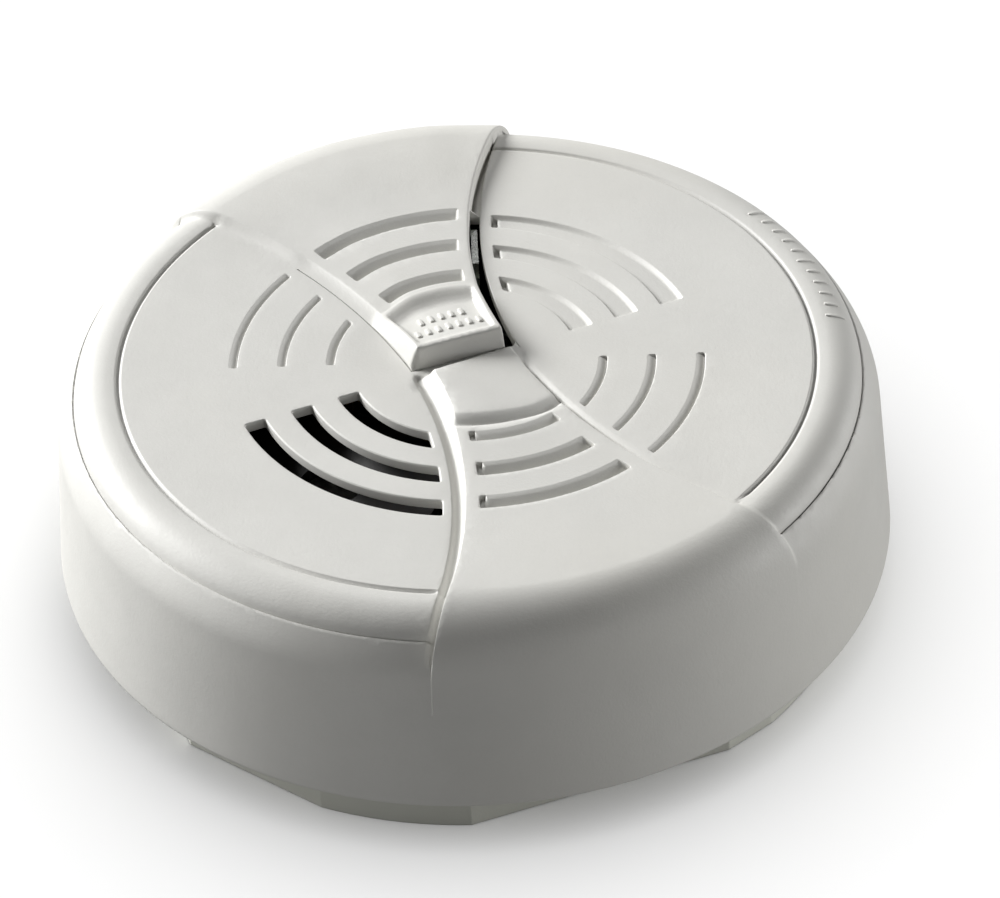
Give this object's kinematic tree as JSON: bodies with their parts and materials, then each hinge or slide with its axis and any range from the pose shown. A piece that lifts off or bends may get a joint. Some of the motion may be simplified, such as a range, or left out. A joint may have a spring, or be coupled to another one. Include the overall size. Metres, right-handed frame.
{
  "type": "smoke alarm",
  "caption": "Round ceiling smoke alarm with a four-armed fan face, arc-shaped sound slots, a pivoting push-to-test lever, a twist-on bracket and a side battery drawer.",
  "frame": {"origin": "centre of the mounting bracket's back face, which lies on the ceiling", "axes": "+Z out of the front face, into the room; the battery drawer opens towards +Y; the open sound slots are at -X -Y"},
  "size_m": [0.1458, 0.1458, 0.0512],
  "materials": {
    "housing_plastic": "fine spark-eroded texture, warm off-white ABS",
    "bracket_plastic": "off-white ABS, slightly darker than the housing",
    "board_laminate": "tan single-sided paper laminate",
    "steel_zinc": "bright zinc plate",
    "shield_steel": "tinned steel, satin",
    "insulator_plastic": "natural nylon",
    "black_plastic": "satin black",
    "brass": "bright rolled brass",
    "piezo_white": "silvered ceramic, satin",
    "spring_metal": "nickel-plated spring bronze",
    "lens_green": "tinted clear resin",
    "lens_red": "tinted clear resin",
    "clear_acrylic": "clear acrylic, polished",
    "capacitor_sleeve": "shrunk vinyl sleeve",
    "film_resin": "dipped resin",
    "ceramic_orange": "dipped ceramic, satin",
    "resistor_coat": "lacquered, with colour bands",
    "varistor_coat": "dipped epoxy",
    "battery_jacket": "printed steel jacket, no marks",
    "nickel": "nickel plate"
  },
  "bodies": {
    "bracket": {"mounting_bracket": "bracket_plastic"},
    "housing": {"rear_base": "housing_plastic", "front_cover": "housing_plastic", "circuit_board": "board_laminate", "board_screws": "steel_zinc", "chamber_base": "insulator_plastic", "chamber_shield": "shield_steel", "collector_plate": "steel_zinc", "source_holder": "steel_zinc", "horn_cup": "black_plastic", "horn_cap": "black_plastic", "piezo_disc": "brass", "piezo_ceramic": "piezo_white", "horn_contacts": "spring_metal", "led_green": "lens_green", "led_red": "lens_red", "light_guide": "clear_acrylic", "detector_ic": "black_plastic", "driver_ic": "black_plastic", "electrolytic_capacitors": "capacitor_sleeve", "film_capacitor": "film_resin", "ceramic_capacitors": "ceramic_orange", "resistors": "resistor_coat", "diodes": "black_plastic", "varistor": "varistor_coat", "transistors": "black_plastic", "power_socket": "insulator_plastic", "power_pins": "brass", "contact_stand": "spring_metal", "contact_post": "brass", "battery_contacts": "brass"},
    "test_lever": {"test_lever": "housing_plastic"},
    "test_contact": {"test_contact_leaf": "spring_metal"},
    "battery_drawer": {"battery_drawer": "housing_plastic", "battery_case": "battery_jacket", "battery_snaps": "nickel"}
  },
  "joints": [
    {"name": "twist_lock", "type": "hinge", "parent": "bracket", "child": "housing", "pos_m": [0, 0, 0], "axis": [0, 0, 1], "range_deg": [0, 15]},
    {"name": "lever_press", "type": "hinge", "parent": "housing", "child": "test_lever", "pos_m": [-0.01355, 0.03415, 0.04648], "axis": [0.9481, 0.318, 0], "range_deg": [0, 3]},
    {"name": "contact_flex", "type": "hinge", "parent": "housing", "child": "test_contact", "pos_m": [-0.00819, 0.02397, 0.0365], "axis": [0.9481, 0.318, 0], "range_deg": [0, 4.9]},
    {"name": "battery_slide", "type": "slide", "parent": "housing", "child": "battery_drawer", "axis": [0, 1, 0], "range_m": [0, 0.034]}
  ],
  "couplings": [
    {"joint": "contact_flex", "follows": "lever_press", "ratio": 1.62}
  ]
}
